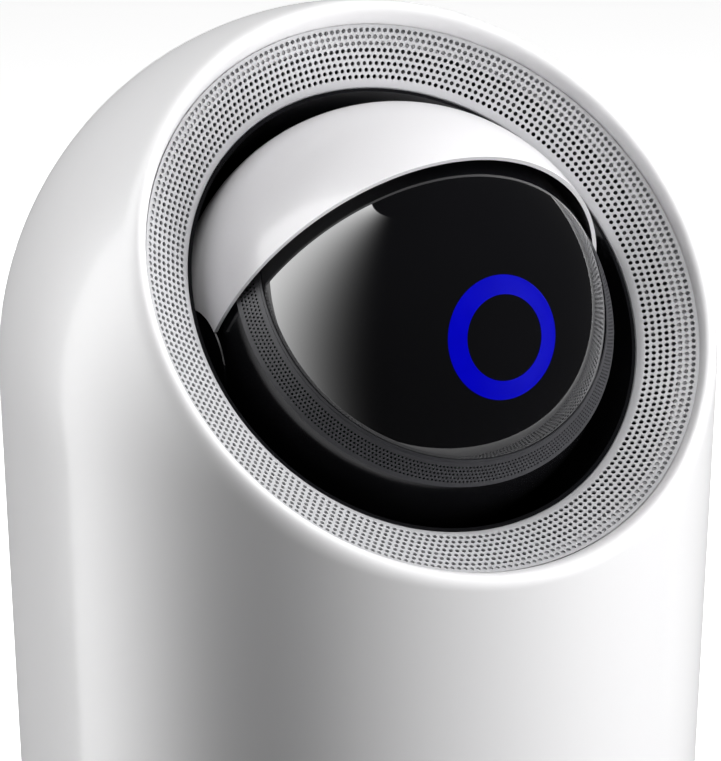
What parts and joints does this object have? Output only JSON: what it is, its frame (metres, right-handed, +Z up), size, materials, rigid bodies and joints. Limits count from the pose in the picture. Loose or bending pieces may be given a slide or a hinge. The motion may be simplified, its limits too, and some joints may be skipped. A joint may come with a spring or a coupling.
{
  "type": "air purifier",
  "caption": "Free-standing tower air purifier with a slanted perforated outlet round a glass eye under a moving lid, and a drum filter behind a lift-off rear door.",
  "frame": {"origin": "middle of the footprint, on the floor", "axes": "+Z up, front towards -Y, +X to the right of someone behind the front"},
  "size_m": [0.316, 0.316, 0.7589],
  "materials": {
    "white_shell": "satin moulded, fine grain",
    "silver_grille": "silver satin paint, perforated",
    "black_gloss": "gloss black moulding",
    "black_glass": "polished black glass face",
    "dark_grey": "dark grey, fine grain",
    "blue_light": "lit blue light guide",
    "grey_plastic": "plain grey moulding",
    "filter_paper": "pleated filter paper",
    "carbon": "granulated carbon sleeve",
    "steel": "turned steel",
    "rubber": "moulded rubber",
    "circuit_board": "green board with components"
  },
  "bodies": {
    "tower": {"upper_shell": "white_shell", "front_intake_panel": "white_shell", "base_shell": "white_shell", "base_deck": "white_shell", "outlet_grille": "silver_grille", "well_liner": "black_gloss", "eye_shell": "black_gloss", "eye_stem": "black_gloss", "power_inlet": "black_gloss", "eye_glass": "black_glass", "eye_band": "dark_grey", "light_ring": "blue_light", "lid_motor": "grey_plastic", "lid_bearing": "grey_plastic", "fan_deck": "grey_plastic", "inlet_ring": "grey_plastic", "fan_housing": "grey_plastic", "motor_bridge": "grey_plastic", "air_sensor": "grey_plastic", "left_post": "grey_plastic", "right_post": "grey_plastic", "fan_motor": "steel", "motor_screw_1": "steel", "motor_screw_2": "steel", "motor_screw_3": "steel", "base_screw_1": "steel", "base_screw_2": "steel", "base_screw_3": "steel", "base_screw_4": "steel", "foot_1": "rubber", "foot_2": "rubber", "foot_3": "rubber", "foot_4": "rubber", "eye_board": "circuit_board", "control_board": "circuit_board", "power_board": "circuit_board"},
    "lid": {"eyelid": "white_shell", "lid_pivot_left": "steel", "lid_pivot_right": "steel"},
    "fan": {"impeller": "dark_grey", "motor_shaft": "steel"},
    "door": {"rear_filter_door": "white_shell"},
    "latch": {"door_latch": "grey_plastic"},
    "filter": {"carbon_core": "carbon", "filter_media": "filter_paper", "prefilter_mesh": "dark_grey", "filter_top_cap": "grey_plastic", "filter_bottom_cap": "grey_plastic", "filter_pull_tab": "grey_plastic"}
  },
  "joints": [
    {"name": "lid_tilt", "type": "hinge", "parent": "tower", "child": "lid", "pos_m": [0, -0.03376, 0.62767], "axis": [1, 0, 0], "range_deg": [0, 84]},
    {"name": "fan_spin", "type": "hinge", "parent": "tower", "child": "fan", "pos_m": [0, 0, 0.4], "axis": [0, 0, 1], "continuous": true},
    {"name": "door_lift_off", "type": "slide", "parent": "tower", "child": "door", "axis": [0, 1, 0], "range_m": [0, 0.4]},
    {"name": "filter_slide", "type": "slide", "parent": "tower", "child": "filter", "axis": [0, 1, 0], "range_m": [0, 0.3]},
    {"name": "latch_press", "type": "slide", "parent": "door", "child": "latch", "axis": [0, -1, 0], "range_m": [0, 0.0025], "stiffness_N_per_m": 400}
  ],
  "couplings": [
    {"joint": "filter_slide", "follows": "door_lift_off", "ratio": 0.75}
  ]
}
